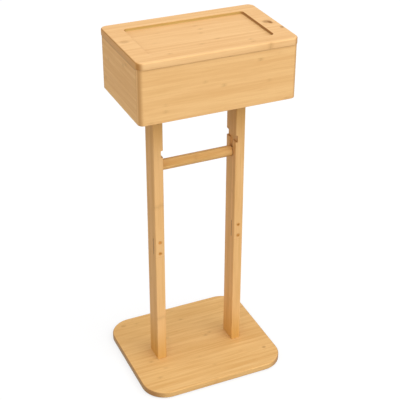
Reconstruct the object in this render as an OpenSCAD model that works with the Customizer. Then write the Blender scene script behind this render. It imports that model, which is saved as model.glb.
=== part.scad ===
// Free-standing bathroom stand: a base plate, two jointed posts, a loose cross bar
// and a storage box with a lift-off lid that has a shallow tray in its top.
// Millimetres. X to the right, Y to the back, Z up.
// The origin is the middle of the base plate, at the height of the surface it stands on.

/* [Base] */
// Width of the base plate
base_w = 312; // [270:1:340]
// Depth of the base plate
base_d = 270; // [220:1:300]
// Thickness of the base plate
base_t = 14; // [12:0.5:20]
// Radius of the base plate's corners in plan
base_corner_r = 50; // [15:1:60]
// Radius of the softened upper and lower edges of the base plate
base_edge_r = 2.5; // [0.5:0.5:4]

/* [Feet] */
// Diameter of a foot pad
foot_d = 22; // [12:1:30]
// Thickness of a foot pad
foot_t = 2; // [1:0.5:4]
// Distance from the plate's edges to the middle of a foot pad
foot_inset = 34; // [25:1:45]

/* [Posts] */
// Width of a post, seen from the front
post_w = 19.5; // [15:0.5:24]
// Depth of a post, seen from the side
post_d = 43; // [36:1:50]
// Clear width between the two posts
post_gap = 154; // [130:1:180]
// Height of the posts, from the base plate to the box
post_h = 604; // [540:1:700]
// Radius of the posts' long edges
post_edge_r = 1.5; // [0.5:0.5:3]
// How far the posts stand in front of the base plate's middle
post_shift = 5; // [0:1:20]

/* [Lap joint in the posts] */
// Height of the lap's middle above the base plate
lap_height = 281; // [150:1:350]
// Height of the lap
lap_h = 43; // [36:1:60]
// Thickness of the front half of the lap
lap_front_t = 12.5; // [10:0.5:18]
// Distance between the two screws of a lap
lap_screw_pitch = 26; // [18:1:30]
// Diameter of a lap screw's shank
lap_screw_d = 4; // [3:0.5:5]
// Diameter of a lap screw's head
lap_head_d = 7; // [6.5:0.5:10]
// Length of a lap screw
lap_screw_len = 28; // [22:1:32]

/* [Cross bar] */
// Diameter of the bar
bar_d = 22; // [16:0.5:25]
// Height of the bar's axis above the base plate
bar_height = 458; // [400:1:480]
// Diameter of the turned ends
tenon_d = 14; // [8:0.5:15]
// How far a turned end reaches into its post
tenon_reach = 3.5; // [3:0.5:6]
// Depth of the grooves in the posts
groove_depth = 4.5; // [4:0.5:8]
// Height from the bar's seat to the middle of the level entry groove
groove_rise = 34; // [20:0.5:45]

/* [Box] */
// Width of the box
box_w = 312; // [280:1:360]
// Depth of the box
box_d = 195; // [190:1:240]
// Height of the box walls
box_h = 106; // [70:1:150]
// Thickness of the box walls
wall_t = 12; // [10:0.5:16]
// Radius of the upright corners of the box
box_corner_r = 8; // [3:0.5:10]
// Thickness of the box floor
floor_t = 10; // [9:0.5:14]
// How far the box's middle lies in front of the posts' middle
box_shift = 12; // [0:1:25]

/* [Lid] */
// Thickness of the lid
lid_t = 13.5; // [10:0.5:18]
// How far the lid reaches past the box on each side
lid_overhang = 1.5; // [0:0.5:4]
// Radius of the lid's corners in plan
lid_corner_r = 12; // [5:0.5:15]
// Radius of the softened upper edge of the lid
lid_edge_r = 3; // [0.5:0.5:4]
// Width of the tray in the lid
tray_w = 243; // [180:1:245]
// Depth of the tray from front to back
tray_d = 134; // [90:1:150]
// How deep the tray is sunk
tray_sink = 5; // [3:0.5:6]
// Radius of the tray's corners
tray_corner_r = 7; // [3:0.5:15]
// Width of a batten under the lid
batten_w = 14; // [12:0.5:20]
// Height of a batten
batten_h = 8; // [6:0.5:12]
// Play between the battens and the box walls
batten_gap = 1; // [0.5:0.1:2]
// Distance from a batten screw to the next
batten_screw_pitch = 60; // [40:1:70]
// Diameter of a batten screw's shank
batten_screw_d = 3; // [2.5:0.5:4]
// Diameter of a batten screw's head
batten_head_d = 6; // [5:0.5:8]
// How far a batten screw bites into the lid
batten_screw_bite = 7; // [5:0.5:8]

/* [Bolts, inserts and dowels] */
// Diameter of the bolts in the post ends
bolt_d = 5; // [4:0.5:6]
// Diameter of a bolt's head
bolt_head_d = 10; // [9:0.5:11]
// Height of the heads of the bolts inside the box
bolt_head_h = 3.5; // [3:0.5:5]
// Distance between the two bolts of a post end
bolt_pitch = 22; // [18:1:24]
// Diameter of a threaded insert
insert_d = 8; // [7.5:0.5:10]
// Length of a threaded insert
insert_len = 12; // [10:1:18]
// Diameter of a washer
washer_d = 13; // [11.5:0.5:15]
// Thickness of a washer
washer_t = 1; // [0.5:0.5:2]
// Diameter of a dowel
dowel_d = 6; // [4:0.5:7]
// How deep a dowel sits in a wall's face
dowel_in_face = 8; // [5:0.5:9]
// How deep a dowel sits in a panel's edge
dowel_in_edge = 12; // [8:1:20]
// Distance of a corner dowel from the upper or lower edge of the wall
dowel_inset = 25; // [18:1:30]
// Distance between the floor dowels along a wall
floor_dowel_pitch = 90; // [60:1:110]

/* [Clearances] */
// Gap all round between a shank, dowel or insert and its hole
fit_gap = 0.05; // [0.02:0.01:0.1]
// Gap all round between a turned bar end and its groove
run_gap = 0.3; // [0.2:0.05:0.5]
// Gap between each shoulder of the bar and its post
bar_end_gap = 1; // [0.5:0.1:2]

/* [Hidden] */
$fn = 64;

// Finishes
bamboo = [0.91, 0.71, 0.46];
bamboo_end = [0.80, 0.58, 0.34];
steel = [0.72, 0.72, 0.74];
plated = [0.66, 0.46, 0.22];
brass = [0.78, 0.63, 0.32];
rubber = [0.20, 0.19, 0.18];

// Overshoot of a cut past the face that it opens
cut = 1;
// A bolt or screw ends this far short of the bottom of its hole
tip_gap = 1;

base_z = foot_t;
base_top = base_z + base_t;
post_x = (post_gap + post_w) / 2;
post_y = -post_shift;
box_z = base_top + post_h;
box_y = post_y - box_shift;
inner_w = box_w - 2 * wall_t;
inner_d = box_d - 2 * wall_t;
floor_top = box_z + floor_t;
lid_z = box_z + box_h;
lid_top = lid_z + lid_t;
lid_w = box_w + 2 * lid_overhang;
lid_d = box_d + 2 * lid_overhang;

// Places in a post's own frame, where x and y are measured from the post's middle
lap_bottom = base_top + lap_height - lap_h / 2;
lap_top = lap_bottom + lap_h;
lap_face_y = lap_front_t - post_d / 2;
bar_z = base_top + bar_height;
groove_w = tenon_d + 2 * run_gap;

batten_x = inner_w / 2 - batten_gap - batten_w / 2;
batten_len = inner_d - 2 * batten_gap;

SIDES = [-1, 1];

// Rectangle with round corners, centred
module rounded_rect(w, d, r) {
    square([w - 2 * r, d], center = true);
    square([w, d - 2 * r], center = true);
    for (x = SIDES, y = SIDES) translate([x * (w / 2 - r), y * (d / 2 - r)]) circle(r);
}

// Plate with round corners, standing on z = 0
module plate(w, d, t, r) {
    linear_extrude(t) rounded_rect(w, d, r);
}

// Half outline of a plate's edge: out is the reach, e_low and e_high are the edge radii
module edge_profile(out, t, e_low, e_high) {
    difference() {
        square([out, t]);
        if (e_high > 0) translate([out - e_high, t - e_high]) difference() {
            square(e_high + cut);
            circle(e_high);
        }
        if (e_low > 0) translate([out - e_low, e_low]) difference() {
            translate([0, -e_low - cut]) square(e_low + cut);
            circle(e_low);
        }
    }
}

// Plate with round corners and softened upper and lower edges, standing on z = 0
module soft_plate(w, d, t, r, e_low, e_high) {
    for (k = [0:3]) {
        along = k % 2 == 0 ? w - 2 * r : d - 2 * r;
        reach = k % 2 == 0 ? d / 2 : w / 2;
        rotate([0, 0, 90 * k]) {
            translate([along / 2, 0, 0]) rotate([90, 0, -90]) linear_extrude(along)
                mirror([1, 0, 0]) edge_profile(reach, t, e_low, e_high);
        }
    }
    for (x = SIDES, y = SIDES) translate([x * (w / 2 - r), y * (d / 2 - r), 0])
        rotate_extrude() edge_profile(r, t, e_low, e_high);
}

// Places at the two bolts of each post end
module at_post_bolts() {
    for (x = SIDES, y = SIDES) translate([x * post_x, post_y + y * bolt_pitch / 2, 0]) children();
}

// Places at the two screws of a lap, on the post's front face, turned so that up points forward
module at_lap_screws() {
    for (z = SIDES) translate([0, -post_d / 2, base_top + lap_height + z * lap_screw_pitch / 2])
        rotate([90, 0, 0]) children();
}

// Countersunk shape: the flat of the head at z = 0 and the shank below it
module countersunk(d, length, head_d, gap = 0) {
    head_h = (head_d - d) / 2;
    translate([0, 0, -length]) cylinder(d = d + 2 * gap, h = length);
    translate([0, 0, -head_h - gap]) cylinder(d1 = d, d2 = head_d + 2 * gap, h = head_h + gap);
}

// Cross-shaped recess sunk into a head whose flat is at z = 0
module cross_recess(size) {
    for (a = [0, 90]) rotate([0, 0, a]) translate([-size / 2, -size / 10, -size / 3])
        cube([size, size / 5, size / 3 + cut]);
}

// Six-sided recess sunk into a head whose flat is at z = 0
module hex_recess(d) {
    translate([0, 0, -bolt_head_h * 0.6]) cylinder(d = d * 0.9, h = bolt_head_h, $fn = 6);
}

module base_plate() {
    color(bamboo) difference() {
        translate([0, 0, base_z])
            soft_plate(base_w, base_d, base_t, base_corner_r, base_edge_r, base_edge_r);
        at_post_bolts() translate([0, 0, base_z]) mirror([0, 0, 1])
            countersunk(bolt_d, base_t + cut, bolt_head_d, fit_gap);
    }
}

module foot_pad(x, y) {
    color(rubber) translate([x * (base_w / 2 - foot_inset), y * (base_d / 2 - foot_inset), 0])
        cylinder(d = foot_d, h = foot_t);
}

// A length of post in the post's own frame, from one height to another
module post_length(from, to) {
    translate([0, 0, from]) plate(post_w, post_d, to - from, post_edge_r);
}

// Bore for an insert, from the post end at z = 0 upwards
module insert_bores() {
    for (y = SIDES) translate([0, y * bolt_pitch / 2, -cut])
        cylinder(d = insert_d + 2 * fit_gap, h = insert_len + cut);
}

module lap_screw_holes() {
    at_lap_screws() countersunk(lap_screw_d, lap_screw_len + tip_gap, lap_head_d, fit_gap);
}

// Groove for a turned bar end, cut into the face at x = -post_w / 2: a level groove that is
// open at the front and the back, and a drop from it down to a round seat
module bar_groove() {
    floor_x = -post_w / 2 - cut;
    deep = groove_depth + cut;
    translate([floor_x, -post_d / 2 - cut, bar_z + groove_rise - groove_w / 2])
        cube([deep, post_d + 2 * cut, groove_w]);
    translate([floor_x, -groove_w / 2, bar_z]) cube([deep, groove_w, groove_rise]);
    translate([floor_x, 0, bar_z]) rotate([0, 90, 0]) cylinder(d = groove_w, h = deep);
}

// Lower length of a post, whose tongue is the rear half of the lap
module post_lower() {
    difference() {
        post_length(base_top, lap_top);
        translate([-post_w / 2 - cut, -post_d / 2 - cut, lap_bottom])
            cube([post_w + 2 * cut, lap_front_t + cut, lap_h + cut]);
        lap_screw_holes();
        translate([0, 0, base_top]) insert_bores();
    }
}

// Upper length of a post, whose tongue is the front half of the lap
module post_upper() {
    difference() {
        post_length(lap_bottom, box_z);
        translate([-post_w / 2 - cut, lap_face_y, lap_bottom - cut])
            cube([post_w + 2 * cut, post_d, lap_h + cut]);
        lap_screw_holes();
        bar_groove();
        translate([0, 0, box_z]) mirror([0, 0, 1]) insert_bores();
    }
}

// Puts a piece of the right post in its place, or mirrors it to the left
module on_side(side) {
    mirror([side < 0 ? 1 : 0, 0, 0]) translate([post_x, post_y, 0]) children();
}

module left_post_lower() { color(bamboo) on_side(-1) post_lower(); }
module left_post_upper() { color(bamboo) on_side(-1) post_upper(); }
module right_post_lower() { color(bamboo) on_side(1) post_lower(); }
module right_post_upper() { color(bamboo) on_side(1) post_upper(); }

module lap_screws() {
    color(plated) at_lap_screws() difference() {
        countersunk(lap_screw_d, lap_screw_len, lap_head_d);
        cross_recess(lap_head_d * 0.6);
    }
}

module left_lap_screws() { on_side(-1) lap_screws(); }
module right_lap_screws() { on_side(1) lap_screws(); }

module base_bolts() {
    color(steel) at_post_bolts() translate([0, 0, base_z]) mirror([0, 0, 1]) difference() {
        countersunk(bolt_d, base_t + insert_len - tip_gap, bolt_head_d);
        hex_recess(bolt_d);
    }
}

// Threaded insert, shown as a tube, standing on z = 0
module insert() {
    difference() {
        cylinder(d = insert_d, h = insert_len);
        translate([0, 0, -cut]) cylinder(d = bolt_d + 2 * fit_gap, h = insert_len + 2 * cut);
    }
}

module base_inserts() {
    color(brass) at_post_bolts() translate([0, 0, base_top]) insert();
}

module box_inserts() {
    color(brass) at_post_bolts() translate([0, 0, box_z - insert_len]) insert();
}

module box_washers() {
    color(steel) at_post_bolts() translate([0, 0, floor_top]) difference() {
        cylinder(d = washer_d, h = washer_t);
        translate([0, 0, -cut]) cylinder(d = bolt_d + 2 * fit_gap, h = washer_t + 2 * cut);
    }
}

module box_bolts() {
    shank = washer_t + floor_t + insert_len - tip_gap;
    color(steel) at_post_bolts() translate([0, 0, floor_top + washer_t]) difference() {
        union() {
            translate([0, 0, -shank]) cylinder(d = bolt_d, h = shank);
            cylinder(d = bolt_head_d, h = bolt_head_h);
        }
        translate([0, 0, bolt_head_h]) hex_recess(bolt_d);
    }
}

module cross_bar() {
    body = post_gap - 2 * bar_end_gap;
    whole = post_gap + 2 * tenon_reach;
    color(bamboo_end) translate([0, post_y, bar_z]) rotate([0, 90, 0]) {
        cylinder(d = bar_d, h = body, center = true);
        cylinder(d = tenon_d, h = whole, center = true);
    }
}

// Dowel hole or dowel across the joint of a wall's face and a panel's edge at z = 0,
// with the panel's edge above it
module dowel(gap) {
    slack = gap > 0 ? tip_gap / 2 : 0;
    translate([0, 0, -dowel_in_face - slack])
        cylinder(d = dowel_d + 2 * gap, h = dowel_in_face + dowel_in_edge + 2 * slack);
}

module corner_dowel_set(gap) {
    for (x = SIDES, y = SIDES, z = [dowel_inset, box_h - dowel_inset])
        translate([x * (box_w - wall_t) / 2, box_y + y * inner_d / 2, box_z + z])
            rotate([90 * y, 0, 0]) dowel(gap);
}

module floor_dowel_set(gap) {
    for (k = SIDES, at = SIDES) {
        translate([at * floor_dowel_pitch / 2, box_y + k * inner_d / 2, box_z + floor_t / 2])
            rotate([90 * k, 0, 0]) dowel(gap);
        translate([k * inner_w / 2, box_y + at * floor_dowel_pitch / 2, box_z + floor_t / 2])
            rotate([0, -90 * k, 0]) dowel(gap);
    }
}

module corner_dowels() { color(bamboo_end) corner_dowel_set(0); }
module floor_dowels() { color(bamboo_end) floor_dowel_set(0); }

module box_floor() {
    color(bamboo) difference() {
        translate([-inner_w / 2, box_y - inner_d / 2, box_z]) cube([inner_w, inner_d, floor_t]);
        at_post_bolts() translate([0, 0, box_z - cut])
            cylinder(d = bolt_d + 2 * fit_gap, h = floor_t + 2 * cut);
        floor_dowel_set(fit_gap);
    }
}

// Front or back wall over the full width of the box: a slice of the box's round-cornered outline
module long_wall(side) {
    color(bamboo) difference() {
        translate([0, box_y, box_z]) linear_extrude(box_h) intersection() {
            rounded_rect(box_w, box_d, box_corner_r);
            translate([-box_w / 2, side > 0 ? inner_d / 2 : -box_d / 2]) square([box_w, wall_t]);
        }
        corner_dowel_set(fit_gap);
        floor_dowel_set(fit_gap);
    }
}

module box_front() { long_wall(-1); }
module box_back() { long_wall(1); }

// Side wall between the front and the back wall
module short_wall(side) {
    color(bamboo) difference() {
        translate([side > 0 ? inner_w / 2 : -box_w / 2, box_y - inner_d / 2, box_z])
            cube([wall_t, inner_d, box_h]);
        corner_dowel_set(fit_gap);
        floor_dowel_set(fit_gap);
    }
}

module box_left() { short_wall(-1); }
module box_right() { short_wall(1); }

// Places at the screws of both battens, or of the batten on one side
module at_batten_screws(sides) {
    for (x = sides, k = [-1:1])
        translate([x * batten_x, box_y + k * batten_screw_pitch, lid_z - batten_h]) children();
}

module batten_screw_shape(extra, gap) {
    mirror([0, 0, 1]) countersunk(batten_screw_d, batten_h + batten_screw_bite + extra, batten_head_d, gap);
}

module lid_panel() {
    color(bamboo) difference() {
        translate([0, box_y, lid_z]) soft_plate(lid_w, lid_d, lid_t, lid_corner_r, 0, lid_edge_r);
        translate([0, box_y, lid_top - tray_sink])
            plate(tray_w, tray_d, tray_sink + cut, tray_corner_r);
        at_batten_screws(SIDES) batten_screw_shape(tip_gap / 2, fit_gap);
    }
}

module lid_batten(side) {
    color(bamboo) difference() {
        translate([side * batten_x - batten_w / 2, box_y - batten_len / 2, lid_z - batten_h])
            cube([batten_w, batten_len, batten_h]);
        at_batten_screws([side]) batten_screw_shape(0, fit_gap);
    }
}

module lid_left_batten() { lid_batten(-1); }
module lid_right_batten() { lid_batten(1); }

module batten_screws() {
    color(steel) at_batten_screws(SIDES) difference() {
        batten_screw_shape(0, 0);
        mirror([0, 0, 1]) cross_recess(batten_head_d * 0.6);
    }
}

base_plate();
foot_pad(-1, -1);  // foot_pad_front_left
foot_pad(1, -1);  // foot_pad_front_right
foot_pad(-1, 1);  // foot_pad_back_left
foot_pad(1, 1);  // foot_pad_back_right
left_post_lower();
left_post_upper();
right_post_lower();
right_post_upper();
left_lap_screws();
right_lap_screws();
base_bolts();
base_inserts();
cross_bar();
box_floor();
box_front();
box_back();
box_left();
box_right();
corner_dowels();
floor_dowels();
box_bolts();
box_washers();
box_inserts();
lid_panel();
lid_left_batten();
lid_right_batten();
batten_screws();
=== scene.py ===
"""Bathroom stand in laminated bamboo: base plate, two posts, loose cross bar, box and lid.

Every length is in metres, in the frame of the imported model: X to the right, Y to the back
and Z up. A piece takes its size and place from the box of the part that it stands for, and
the classes below add what a box can't say, such as radii, grooves and finishes.
"""

from __future__ import annotations

import logging
import math
from dataclasses import dataclass, replace
from enum import Enum
from functools import partial, reduce
from typing import Any, Sequence, Union

import bpy
import numpy as np
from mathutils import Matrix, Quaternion, Vector

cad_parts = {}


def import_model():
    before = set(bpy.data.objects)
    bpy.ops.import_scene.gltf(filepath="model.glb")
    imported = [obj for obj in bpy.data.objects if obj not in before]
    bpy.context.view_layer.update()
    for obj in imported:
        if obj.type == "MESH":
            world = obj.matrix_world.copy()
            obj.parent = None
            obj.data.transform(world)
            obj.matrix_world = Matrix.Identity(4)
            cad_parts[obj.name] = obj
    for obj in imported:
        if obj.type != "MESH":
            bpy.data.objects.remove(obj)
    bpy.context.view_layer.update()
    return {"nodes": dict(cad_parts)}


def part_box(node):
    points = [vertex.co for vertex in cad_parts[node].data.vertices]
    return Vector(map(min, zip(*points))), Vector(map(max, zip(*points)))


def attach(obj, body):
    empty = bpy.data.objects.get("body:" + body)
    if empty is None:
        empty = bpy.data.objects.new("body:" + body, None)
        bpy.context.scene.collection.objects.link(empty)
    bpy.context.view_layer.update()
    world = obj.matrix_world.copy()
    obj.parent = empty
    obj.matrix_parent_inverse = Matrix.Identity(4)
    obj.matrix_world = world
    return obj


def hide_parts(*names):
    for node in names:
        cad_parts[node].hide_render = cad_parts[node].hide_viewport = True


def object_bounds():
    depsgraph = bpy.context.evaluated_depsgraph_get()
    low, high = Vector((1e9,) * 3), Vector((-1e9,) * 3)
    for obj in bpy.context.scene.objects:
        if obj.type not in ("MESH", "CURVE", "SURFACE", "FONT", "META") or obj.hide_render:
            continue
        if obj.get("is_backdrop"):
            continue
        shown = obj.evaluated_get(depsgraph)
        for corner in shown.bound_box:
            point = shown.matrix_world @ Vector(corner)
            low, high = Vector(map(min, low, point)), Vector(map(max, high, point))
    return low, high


LOG = logging.getLogger("stand")

# An edge of up to this many degrees counts as part of a curve
CURVE_ANGLE = 40.0
# How far a cutter reaches past the face that it cuts through
BEYOND = 0.001
# Steps round the edge of a board
EDGE_STEPS = 6
# Points round a bore
BORE_POINTS = 32
# Signs of X and Y at the corners of a rectangle, turning left
CORNERS = np.array([(1, 1), (-1, 1), (-1, -1), (1, -1)])
# Sockets of the node that mixes colours, whose names stand for other kinds of value too
MIX_FACTOR, MIX_FIRST, MIX_SECOND, MIX_RESULT = 0, 6, 7, 2

Numbers = Sequence[float]
# Points by ring, place in the ring and coordinate
Rings = np.ndarray
Colour = tuple[float, float, float]
Piece = bpy.types.Object
Socket = bpy.types.NodeSocket
Value = Union[Socket, float]
Tint = Union[Socket, Colour]
Painted = Union[bpy.types.Material, bpy.types.World]

WHITE: Colour = (1.0, 1.0, 1.0)


class Axis(Enum):
    """Axes of the frame, by their place in a point."""

    X = 0
    Y = 1
    Z = 2


class Side(Enum):
    """Side of the stand, seen from the front, as the sign of its X."""

    LEFT = -1
    RIGHT = 1

    @property
    def word(self) -> str:
        """The side's name as it stands in node names."""
        return self.name.lower()


class Grain(Enum):
    """How a board lies: its axes along the fibres, across the strips and through the layers."""

    FLAT = (Axis.X, Axis.Y, Axis.Z)
    FRONT = (Axis.X, Axis.Z, Axis.Y)
    SIDE = (Axis.Y, Axis.Z, Axis.X)
    UPRIGHT = (Axis.Z, Axis.Y, Axis.X)
    CROSSWAYS = (Axis.Y, Axis.X, Axis.Z)


@dataclass(frozen=True)
class Span:
    """The box that a part fills, as its lowest and highest corner."""

    low: np.ndarray
    high: np.ndarray

    @classmethod
    def of(cls, *nodes: str) -> Span:
        """Finds the smallest box that holds the parts of these names."""
        corners = np.array([[list(corner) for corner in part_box(node)] for node in nodes])
        return cls(corners[:, 0].min(axis=0), corners[:, 1].max(axis=0))

    @property
    def centre(self) -> np.ndarray:
        """Middle of the box."""
        return (self.low + self.high) / 2

    @property
    def size(self) -> np.ndarray:
        """Edge lengths of the box."""
        return self.high - self.low


# Shapes


def quarter(steps: int) -> np.ndarray:
    """Angles of a quarter turn in equal steps, both ends among them."""
    return np.linspace(0.0, math.pi / 2, steps + 1)


def rounding(radius: float, steps: int) -> tuple[np.ndarray, np.ndarray]:
    """A rounded edge at angle a: radius times (1 - sin a), and radius times (1 - cos a)."""
    turn = quarter(steps)
    return radius * (1 - np.sin(turn)), radius * (1 - np.cos(turn))


def rectangle(low: Numbers, high: Numbers) -> np.ndarray:
    """Corners of a rectangle, turning left from its lowest corner."""
    return np.array([(low[0], low[1]), (high[0], low[1]), (high[0], high[1]), (low[0], high[1])])


def round_rings(
    size: Numbers, radius: float, inset: Numbers, height: Numbers, centre: Numbers, steps: int
) -> Rings:
    """Stacks round-cornered rectangles, each drawn in by its own inset.

    A ring's point at angle a of corner k is the corner's own centre plus (radius - inset)
    times (cos a, sin a), so that all rings share their four corner centres.

    Args:
        size: Width and depth of the rectangle that has no inset.
        radius: Corner radius of that rectangle.
        inset: How far each ring is drawn in.
        height: Height of each ring.
        centre: Middle of the rectangle in plan.
        steps: Steps round a corner.

    Returns:
        The rings.
    """
    turn = (np.arange(len(CORNERS))[:, None] * (math.pi / 2) + quarter(steps)[None, :]).ravel()
    corner = np.repeat(CORNERS, steps + 1, axis=0)
    hub = np.asarray(centre[:2]) + corner * (np.asarray(size[:2]) / 2 - radius)
    reach = (radius - np.asarray(inset))[:, None, None]
    flat = hub[None] + reach * np.stack([np.cos(turn), np.sin(turn)], axis=-1)[None]
    rise = np.broadcast_to(np.asarray(height)[:, None, None], flat.shape[:2] + (1,))
    return np.concatenate([flat, rise], axis=-1)


@dataclass(frozen=True)
class Edge:
    """A rounded edge: its radius, and how far in from the side the flat face has its first ring."""

    radius: float
    flat_from: float


def edged_rings(
    size: Numbers, corner: float, centre: Numbers, ends: Numbers, edges: tuple[Edge, Edge], steps: int
) -> Rings:
    """Stacks the rings of a board on the way up, or those of a hollow on the way down.

    With w = 1 on the way up and -1 on the way down, the first edge has inset w e(1 - sin a)
    and lies w e(1 - cos a) past the first end, and the other one has inset e(1 - cos a) and
    lies w e(1 - sin a) before the other end, where e is its radius and a its angle.

    Args:
        size: Width and depth.
        corner: Corner radius in plan.
        centre: Middle in plan.
        ends: Z of the first and of the last flat face.
        edges: The edge of each.
        steps: Steps round a corner.

    Returns:
        The rings.
    """
    (start, end), (first, last) = ends, edges
    way = 1 if end > start else -1
    steep, shallow = rounding(first.radius, EDGE_STEPS)
    rise, inset = rounding(last.radius, EDGE_STEPS)
    insets = np.concatenate([[way * first.flat_from], way * steep, inset, [last.flat_from]])
    heights = np.concatenate([[start], start + way * shallow, end - way * rise, [end]])
    return round_rings(size, corner, insets, heights, centre, steps)


def turned_rings(
    radius: Numbers, along: Numbers, axis: Axis, centre: Numbers, points: int = 48
) -> Rings:
    """Turns a profile about an axis: each ring is radius times (cos a, sin a), at its height.

    Args:
        radius: Distance of each profile point from the axis.
        along: Place of each profile point along the axis, from the centre.
        axis: The axis that the profile turns about.
        centre: A point on that axis, from which the profile is measured.
        points: Points of a ring.

    Returns:
        The rings.
    """
    turn = np.arange(points) * (2 * math.pi / points)
    flat = np.stack([np.cos(turn), np.sin(turn)], axis=-1)[None] * np.asarray(radius)[:, None, None]
    rise = np.broadcast_to(np.asarray(along)[:, None, None], flat.shape[:2] + (1,))
    return np.roll(np.concatenate([flat, rise], axis=-1), axis.value + 1, axis=-1) + np.asarray(centre)


def prism_rings(outline: np.ndarray, axis: Axis, low: float, high: float) -> Rings:
    """Carries an outline that turns left in the plane of the next two axes from low up to high."""
    ends = [np.column_stack([outline, np.full(len(outline), place)]) for place in (low, high)]
    return np.roll(np.array(ends), axis.value + 1, axis=-1)


@dataclass(frozen=True)
class Countersunk:
    """A countersunk fastener, by the diameters of its head and shank, and how loose it sits."""

    head: float
    shank: float
    rim: float = 0.0
    gap: float = 0.00005

    def hole(self, length: float, axis: Axis, mouth: Numbers) -> Rings:
        """Works out the fastener's hole: a rim, a cone of 45 degrees and a straight bore.

        Args:
            length: How deep it goes.
            axis: The axis that it goes up along.
            mouth: The middle of its mouth.

        Returns:
            Its rings, wider than the fastener by the gap all round.
        """
        head, shank = self.head / 2, self.shank / 2
        radius = np.array([head + self.rim, head + self.rim, shank, shank]) + self.gap
        along = np.array([-BEYOND, self.rim, head - shank, length + BEYOND])
        return turned_rings(radius, along, axis, mouth, BORE_POINTS)


def new_object(name: str, data: bpy.types.ID) -> Piece:
    """Puts a mesh, lamp or camera into the scene.

    Args:
        name: Name of the object.
        data: What it shows.

    Returns:
        The object, at the origin.
    """
    made = bpy.data.objects.new(name, data)
    bpy.context.scene.collection.objects.link(made)
    return made


def new_piece(name: str, rings: Rings) -> Piece:
    """Makes a closed piece from rings, with four-sided faces between them and a flat end at each end.

    The rings turn left when seen from where the last one lies, so that every face points outwards.

    Args:
        name: Name of the piece.
        rings: Its rings.

    Returns:
        The piece, at the origin.
    """
    point = np.arange(rings[..., 0].size).reshape(rings.shape[:2])
    after = np.roll(point, -1, axis=1)
    sides = np.stack([point[:-1], after[:-1], after[1:], point[1:]], axis=-1).reshape(-1, 4)
    ends = [point[0, ::-1].tolist(), point[-1].tolist()]
    mesh = bpy.data.meshes.new(name)
    mesh.from_pydata(rings.reshape(-1, 3).tolist(), [], sides.tolist() + ends)
    mesh.shade_smooth()
    return new_object(name, mesh)


def new_board(node: str, outline: np.ndarray, span: Span) -> Piece:
    """Makes a board from its outline as seen from above, from its box's bottom to its top."""
    return new_piece(f"bamboo_{node}", prism_rings(outline, Axis.Z, span.low[2], span.high[2]))


def carve(piece: Piece, *cutters: Rings) -> None:
    """Cuts closed shapes out of a piece and keeps the result as its mesh.

    Args:
        piece: The piece to cut.
        cutters: The rings of each shape.
    """
    tools = [new_piece(f"cutter_{index}", rings) for index, rings in enumerate(cutters)]
    for tool in tools:
        cut = piece.modifiers.new("Cut", "BOOLEAN")
        cut.operation = "DIFFERENCE"
        cut.solver = "EXACT"
        cut.object = tool
    cut_piece = piece.evaluated_get(bpy.context.evaluated_depsgraph_get())
    carved = bpy.data.meshes.new_from_object(cut_piece)
    piece.modifiers.clear()
    uncut = piece.data
    carved.set_sharp_from_angle(angle=math.radians(CURVE_ANGLE))
    piece.data = carved
    carved.name = piece.name
    bpy.data.meshes.remove(uncut)
    for tool in tools:
        bpy.data.meshes.remove(tool.data)


def soften(piece: Piece, radius: float, sharpest: float = CURVE_ANGLE) -> None:
    """Rounds the sharp edges of a piece, as sanding does.

    Args:
        piece: The piece.
        radius: Width of the rounding.
        sharpest: Angle in degrees up to which an edge counts as part of a curve.
    """
    bevel = piece.modifiers.new("Sanded edges", "BEVEL")
    bevel.width = radius
    bevel.segments = 3
    bevel.limit_method = "ANGLE"
    bevel.angle_limit = math.radians(sharpest)
    bevel.harden_normals = True
    bevel.miter_outer = "MITER_ARC"


# Materials


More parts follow.
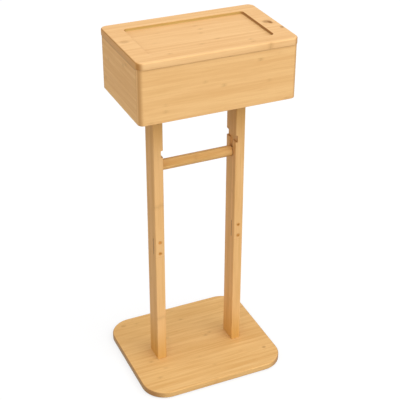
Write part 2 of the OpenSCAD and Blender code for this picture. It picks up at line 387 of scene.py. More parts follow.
class Graph:
    """The node tree of a material or a world, with short ways to add to it."""

    def __init__(self, owner: Painted) -> None:
        """Starts an empty tree.

        Args:
            owner: The material or world that the tree belongs to.
        """
        self.owner = owner
        owner.use_nodes = True
        self.tree = owner.node_tree
        self.tree.nodes.clear()

    def add(self, kind: str, sockets: dict | None = None, **settings: Any) -> bpy.types.Node:
        """Adds a node.

        Args:
            kind: The node's type, without its ShaderNode prefix.
            sockets: Inputs by name or number, each a socket to link or a value to set. A colour's
                three numbers stand for the opaque colour.
            settings: Properties of the node.

        Returns:
            The node.
        """
        node = self.tree.nodes.new("ShaderNode" + kind)
        for key, value in settings.items():
            setattr(node, key, value)
        for key, value in (sockets or {}).items():
            target = node.inputs[key]
            if isinstance(value, Socket):
                self.tree.links.new(value, target)
            else:
                target.default_value = (*value, 1.0) if target.type == "RGBA" else value
        return node

    def math(self, operation: str, *values: Value) -> Socket:
        """Adds an operation on numbers and returns its result."""
        return self.add("Math", dict(enumerate(values)), operation=operation).outputs[0]

    def total(self, *values: Value) -> Socket:
        """Adds numbers up."""
        return reduce(partial(self.math, "ADD"), values)

    def times(self, first: Value, second: Value) -> Socket:
        """Multiplies two numbers."""
        return self.math("MULTIPLY", first, second)

    def around(self, value: Socket, amount: float) -> Socket:
        """Takes noise from 0 to 1 and returns it centred on 0, times amount."""
        return self.times(self.math("SUBTRACT", value, 0.5), amount)

    def step(self, value: Socket, low: float, high: float, start: float = 0.0, end: float = 1.0) -> Socket:
        """Goes smoothly from start to end while value goes from low to high."""
        sockets = {"Value": value, "From Min": low, "From Max": high, "To Min": start, "To Max": end}
        return self.add("MapRange", sockets, interpolation_type="SMOOTHSTEP").outputs[0]

    def join(self, x: Value, y: Value, z: Value) -> Socket:
        """Joins three numbers into a vector."""
        return self.add("CombineXYZ", {"X": x, "Y": y, "Z": z}).outputs[0]

    def split(self, vector: Socket) -> list[Socket]:
        """Splits a vector into its three numbers."""
        return list(self.add("SeparateXYZ", {"Vector": vector}).outputs)

    def noise(self, vector: Socket, scale: float, detail: float = 2.0) -> Socket:
        """Smooth noise from 0 to 1 with its mean near one half."""
        return self.add("TexNoise", {"Vector": vector, "Scale": scale, "Detail": detail}).outputs[0]

    def blend(self, factor: Value, first: Tint, second: Tint, how: str = "MIX") -> Socket:
        """Mixes two colours: at factor 0 the first, and at 1 the second or what it makes of the first."""
        sockets = {MIX_FACTOR: factor, MIX_FIRST: first, MIX_SECOND: second}
        return self.add("Mix", sockets, data_type="RGBA", blend_type=how).outputs[MIX_RESULT]

    def bump(self, height: Socket, strength: float, depth: float) -> Socket:
        """Turns height into the normal of a relief that is so many metres deep."""
        return self.add("Bump", {"Height": height, "Strength": strength, "Distance": depth}).outputs[0]

    def surface(
        self, colour: Socket, roughness: Socket, normal: Socket, metallic: float, specular: float
    ) -> Painted:
        """Finishes a material with one shader that has these inputs."""
        sockets = {
            "Base Color": colour,
            "Roughness": roughness,
            "Normal": normal,
            "Metallic": metallic,
            "Specular IOR Level": specular,
        }
        return self.finish(self.add("BsdfPrincipled", sockets))

    def finish(self, shader: bpy.types.Node) -> Painted:
        """Leads a shader to the output.

        Args:
            shader: The last node of the tree.

        Returns:
            The tree's owner.
        """
        world = isinstance(self.owner, bpy.types.World)
        self.add("OutputWorld" if world else "OutputMaterial", {"Surface": shader.outputs[0]})
        return self.owner


def paint(piece: Piece, material: bpy.types.Material) -> None:
    """Gives a piece one material all over.

    Args:
        piece: The piece.
        material: Its material.
    """
    piece.data.materials.clear()
    piece.data.materials.append(material)
    LOG.info("%s is finished in %s", piece.name, material.name)


@dataclass(frozen=True)
class Streaks:
    """Noise drawn out along the fibres, in waves per metre along and across, and what it counts."""

    along: float
    across: float
    detail: float
    contrast: float


@dataclass(frozen=True)
class Board:
    """How a board is cut: its grain, the box that its pattern is set out in, and its own number."""

    grain: Grain
    span: Span
    seed: int


class Cut:
    """Where a point of a board lies in its strips and layers, in a node tree.

    Each cell, a strip in a layer, has numbers of its own from 0 to 1, and takes its pattern
    from another stretch of the fibres.
    """

    # Layers are thicker than their share, so that no line of glue falls on a face
    THICKER = 1.06
    # Boards differ in where their strips begin, by steps of this share of a strip
    SHIFT, SHIFTS = 0.13, 5
    # Length of fibres, in metres, that the cells' patterns are spread over
    SPREAD = 9.0

    def __init__(self, graph: Graph, board: Board, strip: float, layers: int) -> None:
        """Sets the cells out from the middle of the board's box.

        Args:
            graph: The tree to add to.
            board: The board.
            strip: Width of a strip.
            layers: Number of layers.
        """
        axes = [axis.value for axis in board.grain.value]
        place = graph.add("TexCoord")
        middle = tuple(-board.span.centre)
        centred = graph.add("Mapping", {"Vector": place.outputs["Object"], "Location": middle})
        parts = graph.split(centred.outputs[0])
        normal = graph.split(place.outputs["Normal"])
        self.graph = graph
        self.point = centred.outputs[0]
        self.along, self.across, self.through = (parts[axis] for axis in axes)
        self.end_on = graph.math("ABSOLUTE", normal[axes[0]])
        self.face_on = graph.math("ABSOLUTE", normal[axes[2]])
        self.layer = board.span.size[axes[2]] / layers * self.THICKER
        start = 0.5 + self.SHIFT * (board.seed % self.SHIFTS)
        row = graph.total(graph.math("DIVIDE", self.across, strip), start)
        ply = graph.total(graph.math("DIVIDE", self.through, self.layer), 0.5 * (layers % 2))
        cell = graph.join(graph.math("FLOOR", row), graph.math("FLOOR", ply), float(board.seed))
        lot = graph.add("TexWhiteNoise", {"Vector": cell}, noise_dimensions="3D")
        self.tone_chance, self.joint_chance, _ = graph.split(lot.outputs["Color"])
        self.fibre = graph.total(self.along, graph.times(lot.outputs["Value"], self.SPREAD))
        self.row_part = graph.math("SUBTRACT", graph.math("FRACT", row), 0.5)
        self.ply_part = graph.math("SUBTRACT", graph.math("FRACT", ply), 0.5)

    def streaks(self, kind: Streaks) -> Socket:
        """Noise from 0 to 1, drawn out along the fibres."""
        places, waves = (self.fibre, self.across, self.through), (kind.along, kind.across, kind.across)
        return self.graph.noise(self.graph.join(*map(self.graph.times, places, waves)), 1.0, kind.detail)


@dataclass(frozen=True)
class Mark:
    """A dark mark on a board, by its place from the board's middle.

    It has its full depth out to its core, a share of its length and width, and fades from there.
    Squareness 2 makes it an oval, and more makes it a bar. Its colour is that of the board's
    growth joints unless it has its own.
    """

    along: float
    across: float
    length: float
    width: float
    depth: float
    core: float = 0.35
    squareness: float = 2.0
    colour: Colour | None = None

    def spot(self, cut: Cut) -> Socket:
        """Works out how strong the mark is.

        With run and rise as shares of its length and width, and p the squareness, a point's
        distance from its middle is the p-th root of run to the power p plus rise to the power p.

        Args:
            cut: The board that it lies on.

        Returns:
            Its depth out to its core, and 0 past its length and width.
        """
        graph, power = cut.graph, self.squareness
        run = graph.math("DIVIDE", graph.math("SUBTRACT", cut.along, self.along), self.length)
        rise = graph.math("DIVIDE", graph.math("SUBTRACT", cut.across, self.across), self.width)
        total = graph.total(graph.math("POWER", run, power), graph.math("POWER", rise, power))
        return graph.step(graph.math("POWER", total, 1.0 / power), self.core, 1.0, self.depth, 0.0)


@dataclass(frozen=True)
class Bamboo:
    """Laminated bamboo under a satin lacquer.

    Strips of one width lie side by side in layers. Each strip has its own tone, its own fibres
    and a row of growth joints, and a fine line of glue parts it from the next. Its ends are
    browner, and most of all where they are rounded. Faces that look through the layers can take
    a painted shade tint. A width, half or pitch is in metres, and a depth or contrast is a share
    of the way to the darker colour.
    """

    pale: Colour
    deep: Colour
    joint: Colour
    end: Colour
    rounded_end: Colour
    strip: float
    layers: int
    joint_pitch: float = 0.27
    joint_half: float = 0.0013
    joint_bow: float = 0.006
    joint_depth: float = 0.40
    least_joint: float = 0.03
    marked_share: float = 0.45
    halo_width: float = 7.0
    halo_depth: float = 0.55
    glue_half: float = 0.00012
    glue_depth: float = 0.12
    strip_contrast: float = 0.45
    fibre: Streaks = Streaks(along=9.0, across=1500.0, detail=2.0, contrast=0.45)
    streak: Streaks = Streaks(along=13.0, across=260.0, detail=2.0, contrast=1.1)
    cloud: Streaks = Streaks(along=5.0, across=45.0, detail=3.0, contrast=0.7)
    fleck: Streaks = Streaks(along=160.0, across=2600.0, detail=1.0, contrast=0.35)
    waver: Streaks = Streaks(along=60.0, across=220.0, detail=2.0, contrast=0.004)
    fleck_range: tuple[float, float] = (0.60, 0.78)
    dots_per_metre: float = 900.0
    dot_edge: tuple[float, float] = (0.15, 0.45)
    dot_depth: float = 0.35
    end_range: tuple[float, float] = (0.1, 0.8)
    flat_end_range: tuple[float, float] = (0.85, 1.0)
    shaded_face_range: tuple[float, float] = (0.5, 0.9)
    shaded_face_tint: Colour = WHITE
    fibre_height: float = 0.6
    streak_height: float = 0.5
    glue_sink: float = 0.8
    joint_sink: float = 0.4
    relief: float = 0.00005
    relief_strength: float = 0.5
    roughness: float = 0.5
    uneven_gloss: float = 0.12
    specular: float = 0.12

    def dress(self, piece: Piece, board: Board, marks: Sequence[Mark] = ()) -> None:
        """Makes a piece from a board, with marks at chosen places."""
        paint(piece, self.material(f"bamboo_{piece.name}", board, marks))

    def material(self, name: str, board: Board, marks: Sequence[Mark] = ()) -> bpy.types.Material:
        """Makes the material of a board.

        Args:
            name: Name of the material.
            board: The board.
            marks: Marks at chosen places.

        Returns:
            The material.
        """
        graph = Graph(bpy.data.materials.new(name))
        cut = Cut(graph, board, self.strip, self.layers)
        fibre, streak, cloud = (cut.streaks(kind) for kind in (self.fibre, self.streak, self.cloud))
        joint, glue = self._joint(cut), self._glue(cut)
        fleck = graph.step(cut.streaks(self.fleck), *self.fleck_range)

        tone = graph.total(
            0.5,
            graph.around(cut.tone_chance, self.strip_contrast),
            graph.around(fibre, self.fibre.contrast),
            graph.around(streak, self.streak.contrast),
            graph.around(cloud, self.cloud.contrast),
            graph.times(fleck, self.fleck.contrast),
        )
        colour = graph.blend(graph.step(tone, 0.0, 1.0), self.pale, self.deep)
        colour = graph.blend(joint, colour, self.joint)
        colour = graph.blend(graph.times(glue, self.glue_depth), colour, self.joint)
        for mark in marks:
            colour = graph.blend(mark.spot(cut), colour, mark.colour or self.joint)
        # Painted shade on faces that look through the layers, such as the sides of posts and side walls
        side_shade = graph.step(cut.face_on, *self.shaded_face_range)
        colour = graph.blend(side_shade, colour, self.shaded_face_tint, "MULTIPLY")
        colour = graph.blend(graph.step(cut.end_on, *self.end_range), colour, self._end(cut))

        height = graph.total(
            graph.around(fibre, self.fibre_height),
            graph.around(streak, self.streak_height),
            graph.times(glue, -self.glue_sink),
            graph.times(joint, -self.joint_sink),
        )
        normal = graph.bump(height, self.relief_strength, self.relief)
        sheen = graph.total(self.roughness, graph.around(streak, self.uneven_gloss))
        return graph.surface(colour, sheen, normal, metallic=0.0, specular=self.specular)

    def _joint(self, cut: Cut) -> Socket:
        """Growth joints: thin dark rings, each inside a wider and fainter one.

        A ring crosses its strip in a bow and wavers a little, and some strips show it more.

        Args:
            cut: Where a point lies.

        Returns:
            How strong they are, from 0 to joint_depth.
        """
        graph = cut.graph
        part = graph.math("FRACT", graph.math("DIVIDE", cut.fibre, self.joint_pitch))
        offset = graph.times(graph.math("SUBTRACT", part, 0.5), self.joint_pitch)
        bow = graph.times(graph.times(cut.row_part, cut.row_part), self.joint_bow)
        waver = graph.around(cut.streaks(self.waver), self.waver.contrast)
        distance = graph.math("ABSOLUTE", graph.total(offset, bow, waver))
        ring = graph.step(distance, 0.0, self.joint_half, 1.0, 0.0)
        halo = graph.step(distance, 0.0, self.joint_half * self.halo_width, self.halo_depth, 0.0)
        strength = graph.step(cut.joint_chance, self.marked_share, 1.0, self.least_joint, self.joint_depth)
        return graph.times(graph.math("MAXIMUM", ring, halo), strength)

    def _glue(self, cut: Cut) -> Socket:
        """Lines of glue between strips and between layers: 1 on a line and 0 off it."""
        parts = ((cut.row_part, self.strip), (cut.ply_part, cut.layer))
        return cut.graph.math("MAXIMUM", *(self._line(cut.graph, part, pitch) for part, pitch in parts))

    def _line(self, graph: Graph, part: Socket, pitch: float) -> Socket:
        """A fine line where part, from -0.5 to 0.5 over one pitch, comes to either end."""
        return graph.step(graph.math("ABSOLUTE", part), 0.5 - self.glue_half / pitch, 0.5)

    def _end(self, cut: Cut) -> Socket:
        """Cut ends of the fibres: dark dots in a brown ground, and plain where they are rounded.

        Args:
            cut: Where a point lies.

        Returns:
            Their colour.
        """
        graph = cut.graph
        cells = graph.add("TexVoronoi", {"Vector": cut.point, "Scale": self.dots_per_metre})
        dots = graph.step(cells.outputs["Distance"], *self.dot_edge, self.dot_depth, 0.0)
        flat = graph.step(cut.end_on, *self.flat_end_range)
        return graph.blend(flat, self.rounded_end, graph.blend(dots, self.end, self.joint))


@dataclass(frozen=True)
class Metal:
    """Plain metal with fine turning marks and a few dull patches."""

    colour: Colour
    dull: Colour
    roughness: float
    uneven_gloss: float = 0.2
    patches: float = 260.0
    dull_range: tuple[float, float] = (0.35, 0.7)
    scratches: tuple[float, float, float] = (3000.0, 3000.0, 250.0)

    def dress(self, piece: Piece) -> None:
        """Gives a piece this metal all over.

        Args:
            piece: The piece to paint.
        """
        graph = Graph(bpy.data.materials.new(f"metal_{piece.name}"))
        place = graph.add("TexCoord").outputs["Object"]
        patches = graph.noise(place, self.patches, detail=3.0)
        turned = graph.add("Mapping", {"Vector": place, "Scale": self.scratches}).outputs[0]
        normal = graph.bump(graph.noise(turned, 1.0), strength=0.25, depth=0.00002)
        colour = graph.blend(graph.step(patches, *self.dull_range), self.colour, self.dull)
        rough = graph.total(self.roughness, graph.around(patches, self.uneven_gloss))
        paint(piece, graph.surface(colour, rough, normal, metallic=1.0, specular=0.5))


@dataclass(frozen=True)
class Rubber:
    """Matt rubber with a fine moulded grain."""

    colour: Colour
    worn: Colour
    roughness: float = 0.72
    uneven_gloss: float = 0.15
    grain: float = 2200.0
    wear: float = 120.0
    worn_range: tuple[float, float] = (0.4, 0.75)

    def dress(self, piece: Piece) -> None:
        """Gives a piece this rubber all over.

        Args:
            piece: The piece to paint.
        """
        graph = Graph(bpy.data.materials.new(f"rubber_{piece.name}"))
        place = graph.add("TexCoord").outputs["Object"]
        grain, wear = graph.noise(place, self.grain), graph.noise(place, self.wear)
        normal = graph.bump(grain, strength=0.4, depth=0.00006)
        colour = graph.blend(graph.step(wear, *self.worn_range), self.colour, self.worn)
        rough = graph.total(self.roughness, graph.around(grain, self.uneven_gloss))
        paint(piece, graph.surface(colour, rough, normal, metallic=0.0, specular=0.3))


PANEL = Bamboo(
    pale=(0.824, 0.515, 0.237),
    deep=(0.729, 0.418, 0.174),
    joint=(0.31, 0.135, 0.03),
    end=(0.666, 0.353, 0.123),
    rounded_end=(0.45, 0.21, 0.06),
    strip=0.0062,
    layers=1,
)
WALL = replace(
    PANEL,
    pale=(0.832, 0.520, 0.226),
    deep=(0.737, 0.421, 0.166),
    end=(0.80, 0.47, 0.20),
    rounded_end=(0.56, 0.30, 0.11),
)
# Side walls: painted shade on their faces that look to the side
SIDE = replace(WALL, shaded_face_tint=(1.0, 0.95, 0.87))
# The tray's walls: painted shade, darker and browner, in the lid's recess
TRAY_SHADE = replace(
    PANEL,
    pale=(0.56, 0.37, 0.125),
    deep=(0.49, 0.30, 0.09),
    end=(0.36, 0.17, 0.055),
    rounded_end=(0.40, 0.20, 0.065),
)
BASE = replace(
    PANEL,
    pale=(0.762, 0.473, 0.193),
    deep=(0.64, 0.355, 0.118),
    # The plate's ends and their rounded edges: end grain, made darker still as painted shade
    end=(0.42, 0.25, 0.105),
    rounded_end=(0.41, 0.205, 0.075),
    streak=replace(PANEL.streak, contrast=1.2),
    cloud=replace(PANEL.cloud, contrast=0.9),
    strip_contrast=0.30,
)
POST = Bamboo(
    pale=(0.815, 0.487, 0.205),
    deep=(0.68, 0.375, 0.13),
    joint=(0.34, 0.14, 0.035),
    end=(0.58, 0.30, 0.10),
    rounded_end=(0.58, 0.30, 0.10),
    strip=0.0068,
    layers=2,
    joint_depth=0.28,
    strip_contrast=0.7,
    # Painted shade on the posts' side faces
    shaded_face_tint=(0.98, 0.93, 0.84),
)
BAR = Bamboo(
    pale=(0.841, 0.522, 0.203),
    deep=(0.652, 0.348, 0.108),
    joint=(0.30, 0.12, 0.03),
    end=(0.50, 0.25, 0.08),
    rounded_end=(0.42, 0.20, 0.06),
    strip=0.0064,
    layers=2,
)
DOWEL = Bamboo(
    pale=(0.78, 0.50, 0.24),
    deep=(0.66, 0.38, 0.15),
    joint=(0.36, 0.16, 0.045),
    end=(0.55, 0.30, 0.11),
    rounded_end=(0.55, 0.30, 0.11),
    strip=0.004,
    layers=2,
)
STEEL = Metal(colour=(0.56, 0.54, 0.50), dull=(0.36, 0.33, 0.29), roughness=0.34)
BRONZE = Metal(colour=(0.82, 0.41, 0.12), dull=(0.54, 0.25, 0.06), roughness=0.42)
BRASS = Metal(colour=(0.72, 0.49, 0.18), dull=(0.50, 0.32, 0.12), roughness=0.30)
PAD = Rubber(colour=(0.030, 0.028, 0.026), worn=(0.060, 0.056, 0.052))


def install(piece: Piece, body: str, node: str) -> None:
    """Lets a finished piece ride on a body in place of a part of the frame.

    Args:
        piece: The piece.
        body: The body that it moves with.
        node: The part of the frame that it stands for.
    """
    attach(piece, body)
    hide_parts(node)
    LOG.info("%s stands for %s and rides on %s", piece.name, node, body)


@dataclass
class BasePlate:
    """Plate with large round corners that carries the posts, on four rubber pads."""

    corner_radius: float = 0.050
    corner_steps: int = 18
    edge: Edge = Edge(radius=0.0025, flat_from=0.0030)
    bolt: Countersunk = Countersunk(head=0.010, shank=0.005)
    pad_edge: float = 0.0005
    dish_share: float = 0.45
    dish_floor_share: float = 0.7
    marks: tuple[Mark, ...] = (
        Mark(along=0.1298, across=-0.0797, length=0.006, width=0.005, depth=0.42),
        Mark(along=-0.1238, across=0.1129, length=0.009, width=0.006, depth=0.25),
    )

    @property
    def span(self) -> Span:
        """The plate's box."""
        return Span.of("base_plate")

    def build(self) -> None:
        """Builds the plate and the pads."""
        self.build_plate()
        for place in ("front_left", "front_right", "back_left", "back_right"):
            self.build_pad(f"foot_pad_{place}")

    def build_plate(self) -> None:
        """Builds the plate, rounded alike below and above."""
        span, edges = self.span, (self.edge, self.edge)
        ends = (span.low[2], span.high[2])
        rings = edged_rings(span.size, self.corner_radius, span.centre, ends, edges, self.corner_steps)
        plate = new_piece("bamboo_base", rings)
        carve(plate, *self.bolt_holes)
        BASE.dress(plate, Board(Grain.FLAT, span, seed=3), self.marks)
        install(plate, "stand", "base_plate")

    @property
    def bolt_holes(self) -> list[Rings]:
        """Holes from below for the bolts, one near each corner of the box round them all."""
        bolts, half = Span.of("base_bolts"), self.bolt.head / 2
        return [
            self.bolt.hole(self.span.size[2], Axis.Z, (x, y, self.span.low[2]))
            for x in (bolts.low[0] + half, bolts.high[0] - half)
            for y in (bolts.low[1] + half, bolts.high[1] - half)
        ]

    def build_pad(self, node: str) -> None:
        """Builds a pad: a disc with rounded rims and a shallow dish below.

        Args:
            node: The part that it stands for.
        """
        span, rim = Span.of(node), self.pad_edge
        outer, thickness = span.size[0] / 2, span.size[2]
        dish = outer * self.dish_share
        steep, shallow = rounding(rim, steps=4)
        hollow = [dish * self.dish_floor_share, dish]
        radius = np.concatenate([hollow, outer - steep, outer - shallow, [outer - 2 * rim]])
        along = np.concatenate([[rim, 0.0], shallow, thickness - steep, [thickness]])
        centre = (*span.centre[:2], span.low[2])
        pad = new_piece(f"rubber_{node}", turned_rings(radius, along, Axis.Z, centre))
        PAD.dress(pad)
        install(pad, "stand", node)


@dataclass
class Post:
    """A post of two lengths that meet in a screwed half lap, with a groove for the bar's end."""

    side: Side
    edge_radius: float = 0.0015
    sanded: float = 0.0004
    lap_front: float = 0.0125
    screw: Countersunk = Countersunk(head=0.007, shank=0.004, rim=0.0003)
    groove_depth: float = 0.0045
    groove_width: float = 0.0146
    groove_rise: float = 0.034
    seat_points: int = 25
    insert_hole: float = 0.0081
    insert_depth: float = 0.012
    bolt_pitch: float = 0.022
    seam_half: float = 0.0009
    seam_colour: Colour = (0.09, 0.03, 0.005)
    # Painted shade at the post's ends, under the box and by the base: its reach, its depth and its warm
    # brown
    foot_shade_fade: float = 0.095
    top_shade_fade: float = 0.14
    foot_shade_depth: float = 0.50
    top_shade_depth: float = 0.45
    end_shade_colour: Colour = (0.50, 0.24, 0.01)

    @property
    def nodes(self) -> tuple[str, str]:
        """Names of the parts that the lower and the upper length stand for."""
        return f"{self.side.word}_post_lower", f"{self.side.word}_post_upper"

    @property
    def whole(self) -> Span:
        """The whole post's box."""
        return Span.of(*self.nodes)

    @property
    def lap(self) -> tuple[float, float]:
        """Bottom and top of the lap."""
        lower, upper = (Span.of(node) for node in self.nodes)
        return upper.low[2], lower.high[2]

    @property
    def lap_face(self) -> float:
        """Y of the face where the two tongues of the lap meet."""
        return self.whole.low[1] + self.lap_front

    def build(self) -> None:
        """Builds both lengths, whose bamboo runs on from one into the other."""
        board = Board(Grain.UPRIGHT, self.whole, seed=16 if self.side is Side.LEFT else 22)
        half = self.whole.size[2] / 2
        # Painted shade at the foot, by the base, and at the top, under the box
        foot = self.painted_end_shade(-half, self.foot_shade_fade, self.foot_shade_depth)
        top = self.painted_end_shade(half, self.top_shade_fade, self.top_shade_depth)
        lower, upper = (self.length_of_post(node) for node in self.nodes)
        carve(lower, self.waste(upper=False), *self.screw_holes)
        carve(lower, *self.insert_holes(self.whole.low[2], 1))
        carve(upper, self.waste(upper=True), *self.screw_holes)
        carve(upper, self.groove(), *self.insert_holes(self.whole.high[2], -1))
        for piece, node in zip((lower, upper), self.nodes):
            soften(piece, self.sanded)
            POST.dress(piece, board, [foot, top, self.seam])
            install(piece, "stand", node)

    def painted_end_shade(self, end: float, fade: float, depth: float) -> Mark:
        """Painted shade at an end of the post, as a mark that is wider than the post."""
        return Mark(end, 0.0, length=fade, width=1.0, depth=depth, core=0.0, colour=self.end_shade_colour)

    @property
    def seam(self) -> Mark:
        """The dark line between the two tongues, as the sides of the post show it."""
        (bottom, top), middle = self.lap, self.whole.centre
        return Mark(
            along=(bottom + top) / 2 - middle[2],
            across=self.lap_face - middle[1],
            length=(top - bottom) / 2,
            width=self.seam_half,
            depth=1.0,
            core=0.8,
            squareness=8.0,
            colour=self.seam_colour,
        )

    def length_of_post(self, node: str) -> Piece:
        """Builds a length of post as a round-edged section, from its box's bottom to its top.

        Args:
            node: The part that it stands for.

        Returns:
            The piece, before its lap and holes are cut.
        """
        span, size, centre = Span.of(node), self.whole.size, self.whole.centre
        height = (span.low[2], span.high[2])
        rings = round_rings(size, self.edge_radius, (0.0, 0.0), height, centre, steps=6)
        return new_piece(f"{node}_bamboo", rings)

    def waste(self, upper: bool) -> Rings:
        """The block that a length loses to the lap: the lower one its front, the upper one its back.

        Args:
            upper: Whether it is the upper length.

        Returns:
            The block's rings.
        """
        (bottom, top), face = self.lap, self.lap_face
        (left, front), (right, back) = self.whole.low[:2] - BEYOND, self.whole.high[:2] + BEYOND
        if upper:
            return prism_rings(rectangle((left, face), (right, back)), Axis.Z, bottom - BEYOND, top)
        return prism_rings(rectangle((left, front), (right, face)), Axis.Z, bottom, top + BEYOND)

    @property
    def screw_holes(self) -> list[Rings]:
        """Holes from the front for the screws of the lap, one at each end of their box."""
        screws, half = Span.of(f"{self.side.word}_lap_screws"), self.screw.head / 2
        return [
            self.screw.hole(screws.size[1], Axis.Y, (screws.centre[0], screws.low[1], z))
            for z in (screws.low[2] + half, screws.high[2] - half)
        ]

    def insert_holes(self, end: float, inwards: int) -> list[Rings]:
        """Bores for the threaded inserts, side by side in the end at Z end, up or down into the post."""
        reach, radius = (-BEYOND * inwards, self.insert_depth * inwards), self.insert_hole / 2
        return [
            turned_rings([radius, radius], sorted(reach), Axis.Z, (*place, end), BORE_POINTS)
            for place in self.whole.centre[:2] + np.array([(0, -1), (0, 1)]) * self.bolt_pitch / 2
        ]

    def groove(self) -> Rings:
        """The groove's outline on the inner face, carried in by the groove's depth.

        The level part runs from front to back, and the drop goes down from it to half a circle
        round the bar's axis.

        Returns:
            The groove's rings.
        """
        y, z = Span.of("cross_bar").centre[1:]
        half, far = self.groove_width / 2, self.whole.size[1]
        low, high = z + self.groove_rise - half, z + self.groove_rise + half
        turn = np.linspace(math.pi, 2 * math.pi, self.seat_points)
        seat = np.column_stack([y + half * np.cos(turn), z + half * np.sin(turn)])
        front = [(y - far, high), (y - far, low), (y - half, low)]
        back = [(y + half, low), (y + far, low), (y + far, high)]
        inner = self.whole.low[0] if self.side is Side.RIGHT else self.whole.high[0]
        outwards = self.side.value
        ends = sorted((inner - outwards * BEYOND, inner + outwards * self.groove_depth))
        return prism_rings(np.concatenate([front, seat, back]), Axis.X, *ends)


@dataclass
class CrossBar:
    """Round bar with a turned end at each side."""

    shoulder_radius: float = 0.0012
    tip_radius: float = 0.001
    tenon: float = 0.014
    tenon_length: float = 0.0045
    sanded: float = 0.0003
    sharpest: float = 50.0

    def build(self) -> None:
        """Builds the bar by turning half its profile, and that half mirrored, about its axis."""
        span = Span.of("cross_bar")
        body, tenon, end = span.size[1] / 2, self.tenon / 2, span.size[0] / 2
        face = end - self.tenon_length
        shoulder_up, shoulder_in = rounding(self.shoulder_radius, steps=5)
        tip_up, tip_in = rounding(self.tip_radius, steps=5)
        out = np.concatenate([[body], body - shoulder_in, [tenon], tenon - tip_in])
        place = np.concatenate([[0.0], face - shoulder_up, [face], end - tip_up])
        radius = np.concatenate([out[::-1], out[1:]])
        along = np.concatenate([-place[::-1], place[1:]])
        bar = new_piece("bamboo_bar", turned_rings(radius, along, Axis.X, span.centre))
        soften(bar, self.sanded, self.sharpest)
        BAR.dress(bar, Board(Grain.FLAT, span, seed=23))
        install(bar, "bar", "cross_bar")


@dataclass
class StorageBox:
    """Open box: the long front and back boards cover the ends of the side boards."""

    corner_radius: float = 0.0105
    corner_steps: int = 8
    sanded: float = 0.0008
    line_width: float = 0.004
    line_length: float = 1.0
    long_line_depth: float = 0.20
    side_line_depth: float = 0.45

    def build(self) -> None:
        """Builds the four walls."""
        for node, outwards, seed in (("box_front", -1, 31), ("box_back", 1, 37)):
            span = Span.of(node)
            outline = self.rounded(span.size) * outwards + span.centre[:2]
            self.build_wall(node, outline, WALL, Board(Grain.FRONT, span, seed), self.long_line_depth)
        for node, seed in (("box_left", 41), ("box_right", 43)):
            span = Span.of(node)
            outline = rectangle(span.low, span.high)
            self.build_wall(node, outline, SIDE, Board(Grain.SIDE, span, seed), self.side_line_depth)

    def rounded(self, size: np.ndarray) -> np.ndarray:
        """Outline of a long board round the origin, turning left, with its corners of higher Y round."""
        rings = round_rings(size, self.corner_radius, [0.0], [0.0], [0.0, 0.0], self.corner_steps)
        return np.concatenate([rings[0, : 2 * (self.corner_steps + 1), :2], CORNERS[2:] * size[:2] / 2])

    def build_wall(
        self, node: str, outline: np.ndarray, finish: Bamboo, board: Board, line_depth: float
    ) -> None:
        """Builds a wall, with a darker line along its top, where the lid's edge keeps the light off.

        Args:
            node: The part that it stands for.
            outline: Its outline from above.
            finish: Its finish.
            board: The board that it is cut from.
            line_depth: How dark the line is.
        """
        top, length, width = board.span.size[2] / 2, self.line_length, self.line_width
        wall = new_board(node, outline, board.span)
        soften(wall, self.sanded)
        finish.dress(wall, board, [Mark(0.0, top, length, width, line_depth)])
        install(wall, "stand", node)


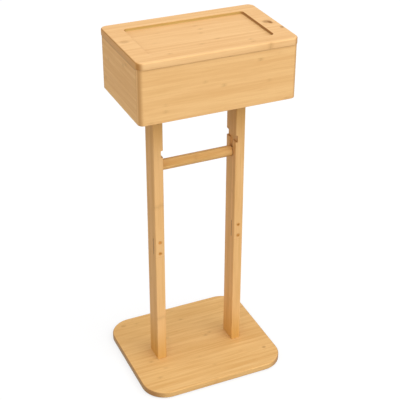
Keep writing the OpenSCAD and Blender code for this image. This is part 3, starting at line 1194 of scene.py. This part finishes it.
@dataclass
class Lid:
    """Loose lid with a shallow tray in its top and two battens below."""

    corner_radius: float = 0.014
    corner_steps: int = 12
    low_edge: Edge = Edge(radius=0.0012, flat_from=0.0018)
    top_edge: Edge = Edge(radius=0.003, flat_from=0.0033)
    tray_size: tuple[float, float] = (0.243, 0.134)
    tray_sink: float = 0.005
    tray_corner: float = 0.007
    tray_lip: Edge = Edge(radius=0.0008, flat_from=0.00104)
    tray_fillet: Edge = Edge(radius=0.0012, flat_from=0.00144)
    sanded: float = 0.0005
    screw: Countersunk = Countersunk(head=0.006, shank=0.003)
    screw_count: int = 3
    marks: tuple[Mark, ...] = (
        Mark(along=0.1385, across=-0.0029, length=0.0120, width=0.0100, depth=0.68),
        Mark(along=0.1427, across=-0.0083, length=0.0062, width=0.0095, depth=1.0),
        Mark(along=0.1517, across=-0.0394, length=0.0055, width=0.0060, depth=0.75),
        Mark(along=-0.1413, across=0.0066, length=0.012, width=0.009, depth=0.30),
    )

    def build(self) -> None:
        """Builds the panel and the battens."""
        self.build_panel()
        for side, seed in ((Side.LEFT, 53), (Side.RIGHT, 59)):
            self.build_batten(f"lid_{side.word}_batten", seed)

    def build_panel(self) -> None:
        """Builds the lid: up the outside, over the top edge, in to the tray and down into it.

        From halfway down the tray's lip to its floor the wood takes a darker, browner painted shade, as in
        a recess.
        """
        span, steps = Span.of("lid_panel"), self.corner_steps
        bottom, top, centre = span.low[2], span.high[2], span.centre
        edges, ends = (self.low_edge, self.top_edge), (bottom, top)
        outer = edged_rings(span.size, self.corner_radius, centre, ends, edges, steps)
        edges, ends = (self.tray_lip, self.tray_fillet), (top, top - self.tray_sink)
        tray = edged_rings(self.tray_size, self.tray_corner, centre, ends, edges, steps)
        panel = new_piece("bamboo_lid", np.concatenate([outer, tray]))
        board = Board(Grain.FLAT, span, seed=47)
        PANEL.dress(panel, board, self.marks)
        panel.data.materials.append(TRAY_SHADE.material("bamboo_lid_milled", board))
        # Painted shade on the tray's walls, from halfway down its lip to its floor
        first, last = len(outer) + 1 + EDGE_STEPS // 2, len(outer) + len(tray) - 2
        tray_shade = np.zeros(len(panel.data.polygons), dtype=np.int32)
        tray_shade[first * outer.shape[1] : last * outer.shape[1]] = 1
        panel.data.polygons.foreach_set("material_index", tray_shade)
        install(panel, "lid", "lid_panel")

    def build_batten(self, node: str, seed: int) -> None:
        """Builds a batten with holes from below for its screws, equally spaced along it.

        Args:
            node: The part that it stands for.
            seed: Number of its cut of bamboo.
        """
        span, screws, half = Span.of(node), Span.of("batten_screws"), self.screw.head / 2
        batten = new_board(node, rectangle(span.low, span.high), span)
        places = np.linspace(screws.low[1] + half, screws.high[1] - half, self.screw_count)
        x, bottom, length = span.centre[0], span.low[2], span.size[2]
        carve(batten, *(self.screw.hole(length, Axis.Z, (x, y, bottom)) for y in places))
        soften(batten, self.sanded)
        PANEL.dress(batten, Board(Grain.CROSSWAYS, span, seed))
        install(batten, "lid", node)


@dataclass
class Hardware:
    """Parts of the frame that keep their shape: screws, bolts, inserts, dowels and the floor."""

    nodes: dict[str, Piece]

    def build(self) -> None:
        """Gives each part its finish."""
        metal = {
            STEEL: ("base_bolts", "box_bolts", "box_washers", "batten_screws"),
            BRONZE: ("left_lap_screws", "right_lap_screws"),
            BRASS: ("base_inserts", "box_inserts"),
        }
        for finish, names in metal.items():
            for name in names:
                finish.dress(self.nodes[name])
        wood = (
            (DOWEL, "corner_dowels", Grain.SIDE, 61),
            (DOWEL, "floor_dowels", Grain.CROSSWAYS, 67),
            (PANEL, "box_floor", Grain.FLAT, 71),
        )
        for finish, name, grain, seed in wood:
            finish.dress(self.nodes[name], Board(grain, Span.of(name), seed))


def outwards_from(azimuth: float, elevation: float) -> Vector:
    """Unit vector that points azimuth degrees to the right of the front and elevation degrees up."""
    turn, rise = math.radians(azimuth), math.radians(elevation)
    return Vector((math.sin(turn) * math.cos(rise), -math.cos(turn) * math.cos(rise), math.sin(rise)))


@dataclass
class Studio:
    """Floor, surround, lamp and camera."""

    floor_half: float = 9.0
    floor_colour: Colour = (0.30, 0.30, 0.30)
    floor_lift: float = 0.70
    side_light: float = 0.72
    front_light: float = 1.34
    sky_light: float = 0.84
    lamp_azimuth: float = 28.0
    lamp_elevation: float = 48.0
    lamp_distance: float = 4.5
    lamp_size: float = 4.2
    lamp_power: float = 51.0
    lamp_target: tuple[float, float, float] = (0.0, 0.0, 0.4)
    azimuth: float = -24.111
    elevation: float = 30.371
    roll: float = 0.184
    lens: float = 92.515
    camera_place: tuple[float, float, float] = (-0.7208, -1.6374, 1.4230)

    def build(self) -> None:
        """Builds everything that isn't part of the stand."""
        self.build_floor()
        self.build_surround()
        self.build_lamp()
        self.build_camera()
        bpy.context.scene.view_settings.view_transform = "Standard"

    @staticmethod
    def seen(graph: Graph) -> Socket:
        """1 for rays from the camera or off gloss or glass, and 0 for light on matt surfaces."""
        path, kinds = graph.add("LightPath").outputs, ("Camera", "Glossy", "Transmission")
        return reduce(partial(graph.math, "MAXIMUM"), (path[f"Is {kind} Ray"] for kind in kinds))

    def build_floor(self) -> None:
        """Builds the floor: matt grey under the lamp, with a glow that only the eye and gloss see."""
        half = self.floor_half
        corners = rectangle((-half, -half), (half, half))
        mesh = bpy.data.meshes.new("floor")
        mesh.from_pydata([(x, y, 0.0) for x, y in corners.tolist()], [], [range(len(corners))])
        floor = new_object("floor", mesh)
        graph = Graph(bpy.data.materials.new("floor_matt"))
        matt = graph.add("BsdfDiffuse", {"Color": self.floor_colour})
        glow = graph.add("Emission", {"Strength": graph.times(self.seen(graph), self.floor_lift)})
        paint(floor, graph.finish(graph.add("AddShader", {0: matt.outputs[0], 1: glow.outputs[0]})))
        floor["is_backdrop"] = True

    def build_surround(self) -> None:
        """Makes the world white to the eye, and as a light a soft surround of its own.

        For the direction (x, y, z) that light comes from, its strength is side_light times |x|,
        plus front_light times -y where that is above 0, plus sky_light times z squared.
        """
        graph = Graph(bpy.data.worlds.new("surround"))
        x, y, z = graph.split(graph.add("TexCoord").outputs["Generated"])
        sides = graph.times(graph.math("ABSOLUTE", x), self.side_light)
        front = graph.math("MAXIMUM", graph.times(y, -self.front_light), 0.0)
        light = graph.total(sides, front, graph.times(graph.times(z, z), self.sky_light))
        colour = graph.blend(self.seen(graph), graph.join(light, light, light), WHITE)
        bpy.context.scene.world = graph.finish(graph.add("Background", {"Color": colour}))

    def build_lamp(self) -> None:
        """Hangs up a large round soft box that looks at the stand."""
        back = outwards_from(self.lamp_azimuth, self.lamp_elevation)
        data = bpy.data.lights.new("key_lamp", "AREA")
        data.shape = "DISK"
        data.size = self.lamp_size
        data.energy = self.lamp_power
        lamp = new_object("key_lamp", data)
        lamp.location = Vector(self.lamp_target) + back * self.lamp_distance
        lamp.rotation_euler = back.to_track_quat("Z", "Y").to_euler()

    def build_camera(self) -> None:
        """Sets the camera up where the photograph was taken from, level and then rolled a little."""
        data = bpy.data.cameras.new("camera")
        data.lens = self.lens
        camera = new_object("camera", data)
        camera.location = self.camera_place
        level = outwards_from(self.azimuth, self.elevation).to_track_quat("Z", "Y")
        camera.rotation_euler = (level @ Quaternion((0.0, 0.0, 1.0), math.radians(self.roll))).to_euler()
        bpy.context.scene.camera = camera


def corners() -> list[list[float]]:
    """Lowest and highest corner of what is shown, as plain lists."""
    return [list(corner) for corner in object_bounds()]


def main() -> None:
    """Dresses the frame, sub-assembly by sub-assembly, and sets up the studio."""
    logging.basicConfig(level=logging.INFO, format="%(name)s: %(message)s")
    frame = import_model()
    BasePlate().build()
    for side in Side:
        Post(side).build()
    CrossBar().build()
    StorageBox().build()
    Lid().build()
    Hardware(frame["nodes"]).build()
    Studio().build()


if __name__ == "__main__":
    main()
